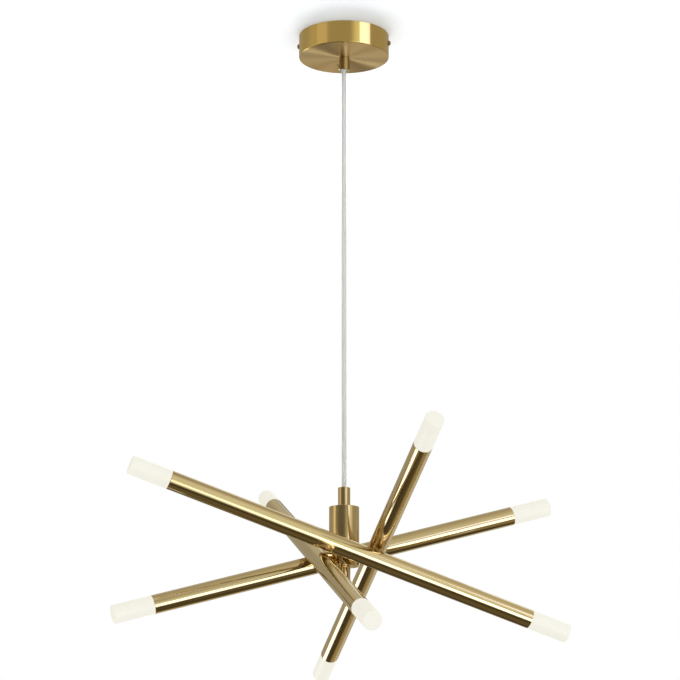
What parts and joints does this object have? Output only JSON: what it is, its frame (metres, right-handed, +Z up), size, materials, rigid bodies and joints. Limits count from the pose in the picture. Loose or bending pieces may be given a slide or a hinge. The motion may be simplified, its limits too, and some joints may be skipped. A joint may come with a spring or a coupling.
{
  "type": "multi arm chandelier",
  "caption": "Pendant chandelier: slim brass tubes with opal lamp ends tilt about a small hub that hangs from a drum canopy on a clear cord.",
  "frame": {"origin": "on the ceiling, at the axis of the canopy and of the hanging cord", "axes": "+Z up; +X from the canopy's axis through the right-hand of its two side screws; +Y towards the back"},
  "size_m": [0.4771, 0.4597, 0.6946],
  "materials": {
    "satin_brass": "satin",
    "brushed_brass": "circular brushed",
    "bronzed_screws": "satin",
    "opal_acrylic": "frosted",
    "clear_cord": "clear sheath",
    "zinc_steel": "zinc plated",
    "driver_case": "moulded",
    "terminal_plastic": "translucent nylon",
    "lead_insulation": "smooth",
    "bush_nylon": "translucent nylon",
    "sink_aluminium": "turned",
    "board_white": "white solder mask"
  },
  "bodies": {
    "ceiling_canopy": {"ceiling_plate": "zinc_steel", "canopy_shell": "brushed_brass", "canopy_side_screws": "bronzed_screws", "led_driver": "driver_case", "driver_screws": "zinc_steel", "terminal_block": "terminal_plastic", "terminal_screws": "zinc_steel", "earth_screw": "zinc_steel", "upper_grip": "satin_brass", "upper_grip_screw": "satin_brass", "upper_grip_nipple": "zinc_steel", "upper_grip_locknut": "zinc_steel", "cord_tail": "clear_cord", "canopy_leads": "lead_insulation"},
    "cord_bush": {"cord_bush": "bush_nylon"},
    "cord": {"cord": "clear_cord"},
    "hub": {"lower_grip": "satin_brass", "lower_grip_screw": "satin_brass", "hub_shell": "satin_brass", "hub_bottom_cap": "satin_brass", "hub_nipples": "zinc_steel", "hub_locknuts": "zinc_steel", "finial": "satin_brass", "splice_connectors": "terminal_plastic", "hub_leads": "lead_insulation", "swivel_collars": "satin_brass", "swivel_inner_washers": "zinc_steel"},
    "front_arm": {"front_arm_tube": "satin_brass", "front_arm_swivel_block": "sink_aluminium", "front_arm_spindle": "satin_brass", "front_arm_leads": "lead_insulation", "front_arm_heat_sinks": "sink_aluminium", "front_arm_led_boards": "board_white", "front_arm_diffuser_high": "opal_acrylic", "front_arm_diffuser_low": "opal_acrylic"},
    "right_arm": {"right_arm_tube": "satin_brass", "right_arm_swivel_block": "sink_aluminium", "right_arm_spindle": "satin_brass", "right_arm_leads": "lead_insulation", "right_arm_heat_sinks": "sink_aluminium", "right_arm_led_boards": "board_white", "right_arm_diffuser_high": "opal_acrylic", "right_arm_diffuser_low": "opal_acrylic"},
    "back_arm": {"back_arm_tube": "satin_brass", "back_arm_swivel_block": "sink_aluminium", "back_arm_spindle": "satin_brass", "back_arm_leads": "lead_insulation", "back_arm_heat_sinks": "sink_aluminium", "back_arm_led_boards": "board_white", "back_arm_diffuser_high": "opal_acrylic", "back_arm_diffuser_low": "opal_acrylic"},
    "left_arm": {"left_arm_tube": "satin_brass", "left_arm_swivel_block": "sink_aluminium", "left_arm_spindle": "satin_brass", "left_arm_leads": "lead_insulation", "left_arm_heat_sinks": "sink_aluminium", "left_arm_led_boards": "board_white", "left_arm_diffuser_high": "opal_acrylic", "left_arm_diffuser_low": "opal_acrylic"}
  },
  "joints": [
    {"name": "cord_swing_side", "type": "hinge", "parent": "ceiling_canopy", "child": "cord_bush", "pos_m": [0, 0, -0.039], "axis": [1, 0, 0], "range_deg": [-15, 15]},
    {"name": "cord_swing_front", "type": "hinge", "parent": "cord_bush", "child": "cord", "pos_m": [0, 0, -0.039], "axis": [0, 1, 0], "range_deg": [-15, 15]},
    {"name": "hub_turn", "type": "hinge", "parent": "cord", "child": "hub", "pos_m": [0, 0, -0.52], "axis": [0, 0, 1], "range_deg": [-180, 180]},
    {"name": "front_arm_tilt", "type": "hinge", "parent": "hub", "child": "front_arm", "pos_m": [0.01165, -0.03034, -0.5832], "axis": [-0.3584, 0.9336, 0], "range_deg": [0, 71]},
    {"name": "right_arm_tilt", "type": "hinge", "parent": "hub", "child": "right_arm", "pos_m": [0.03034, 0.01165, -0.5832], "axis": [-0.9336, -0.3584, 0], "range_deg": [0, 65]},
    {"name": "back_arm_tilt", "type": "hinge", "parent": "hub", "child": "back_arm", "pos_m": [-0.01165, 0.03034, -0.5832], "axis": [0.3584, -0.9336, 0], "range_deg": [0, 74]},
    {"name": "left_arm_tilt", "type": "hinge", "parent": "hub", "child": "left_arm", "pos_m": [-0.03034, -0.01165, -0.5832], "axis": [0.9336, 0.3584, 0], "range_deg": [0, 66]}
  ]
}
